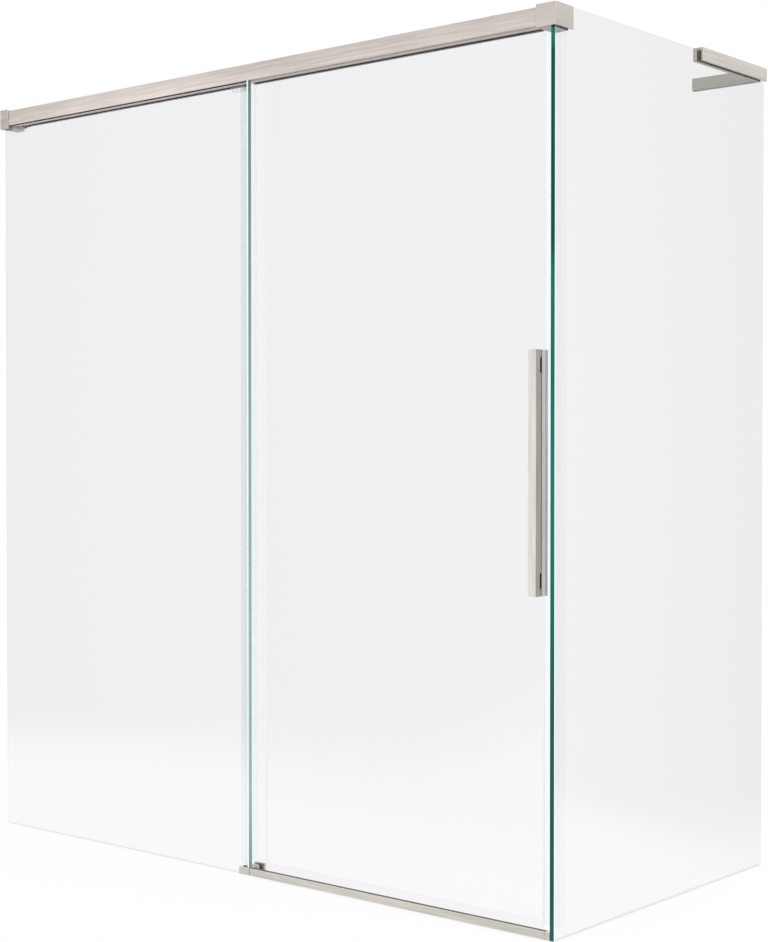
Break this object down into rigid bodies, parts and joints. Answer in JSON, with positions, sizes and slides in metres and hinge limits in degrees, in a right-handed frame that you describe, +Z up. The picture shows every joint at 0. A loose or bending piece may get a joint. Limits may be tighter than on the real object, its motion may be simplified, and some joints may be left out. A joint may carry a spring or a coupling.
{
  "type": "sliding bath screen",
  "caption": "Corner bath screen with a fixed glass front, a top-hung sliding glass door with a bar handle, and a glass return panel braced to the wall",
  "frame": {"origin": "centre of the screen's footprint, on the rim that it stands on", "axes": "+Z up; +X along the front, from the front's wall end towards the glass corner; +Y inwards, along the side glass towards the back wall. The door opens towards -X"},
  "size_m": [1.4126, 0.6956, 1.506],
  "materials": {
    "brushed_nickel": "brushed, warm grey",
    "stainless_steel": "satin",
    "toughened_glass": "clear, green at the edges",
    "clear_seal": "clear, soft",
    "dark_rubber": "matt",
    "black_nylon": "moulded, satin",
    "white_nylon": "moulded, satin"
  },
  "bodies": {
    "frame": {"top_rail": "brushed_nickel", "track_rod": "stainless_steel", "fixed_glass_gasket": "dark_rubber", "pocket_cover": "brushed_nickel", "corner_clamp": "brushed_nickel", "clamp_gasket": "dark_rubber", "clamp_grub_screws": "stainless_steel", "rail_end_screws": "stainless_steel", "wall_cap": "brushed_nickel", "wall_cap_grub_screw": "stainless_steel", "open_stop": "brushed_nickel", "open_stop_buffer": "clear_seal", "open_stop_nut": "stainless_steel", "open_stop_screw": "stainless_steel", "closing_buffer": "dark_rubber", "fixed_glass": "toughened_glass", "side_glass": "toughened_glass", "overlap_seal": "clear_seal", "strike_seal": "clear_seal", "threshold_rail": "brushed_nickel", "threshold_tape": "dark_rubber", "threshold_drip_seal": "dark_rubber", "threshold_end_cap": "brushed_nickel", "end_block": "brushed_nickel", "end_block_liner": "dark_rubber", "end_block_grub_screws": "stainless_steel", "door_guide": "brushed_nickel", "door_guide_liners": "black_nylon", "door_guide_screws": "stainless_steel", "stabiliser_channel": "brushed_nickel", "stabiliser_gasket": "dark_rubber", "stabiliser_arm": "brushed_nickel", "stabiliser_joint_screws": "stainless_steel", "stabiliser_grub_screws": "stainless_steel"},
    "door": {"door_glass": "toughened_glass", "door_carrier": "stainless_steel", "left_hanger": "stainless_steel", "right_hanger": "stainless_steel", "hanger_screws": "stainless_steel", "roller_axles": "stainless_steel", "anti_lift_pads": "black_nylon", "door_shoe": "clear_seal", "handle_grip": "brushed_nickel", "handle_backing_plate": "brushed_nickel", "handle_inner_plate": "brushed_nickel", "handle_pads": "clear_seal", "handle_spacers": "black_nylon", "handle_bolts": "stainless_steel", "handle_bushes": "white_nylon"},
    "roller_body_1": {"roller_1": "white_nylon", "bearing_1": "stainless_steel"},
    "roller_body_2": {"roller_2": "white_nylon", "bearing_2": "stainless_steel"},
    "roller_body_3": {"roller_3": "white_nylon", "bearing_3": "stainless_steel"},
    "roller_body_4": {"roller_4": "white_nylon", "bearing_4": "stainless_steel"}
  },
  "joints": [
    {"name": "door_slide", "type": "slide", "parent": "frame", "child": "door", "axis": [-1, 0, 0], "range_m": [0, 0.6015]},
    {"name": "roller_spin_1", "type": "hinge", "parent": "door", "child": "roller_body_1", "pos_m": [0.0357, -0.32525, 1.4801], "axis": [0, -1, 0], "range_deg": [0, 4310]},
    {"name": "roller_spin_2", "type": "hinge", "parent": "door", "child": "roller_body_2", "pos_m": [0.0857, -0.32525, 1.4801], "axis": [0, -1, 0], "range_deg": [0, 4310]},
    {"name": "roller_spin_3", "type": "hinge", "parent": "door", "child": "roller_body_3", "pos_m": [0.5457, -0.32525, 1.4801], "axis": [0, -1, 0], "range_deg": [0, 4310]},
    {"name": "roller_spin_4", "type": "hinge", "parent": "door", "child": "roller_body_4", "pos_m": [0.5957, -0.32525, 1.4801], "axis": [0, -1, 0], "range_deg": [0, 4310]}
  ],
  "couplings": [
    {"joint": "roller_spin_1", "follows": "door_slide", "rad_per_m": 125},
    {"joint": "roller_spin_2", "follows": "door_slide", "rad_per_m": 125},
    {"joint": "roller_spin_3", "follows": "door_slide", "rad_per_m": 125},
    {"joint": "roller_spin_4", "follows": "door_slide", "rad_per_m": 125}
  ]
}
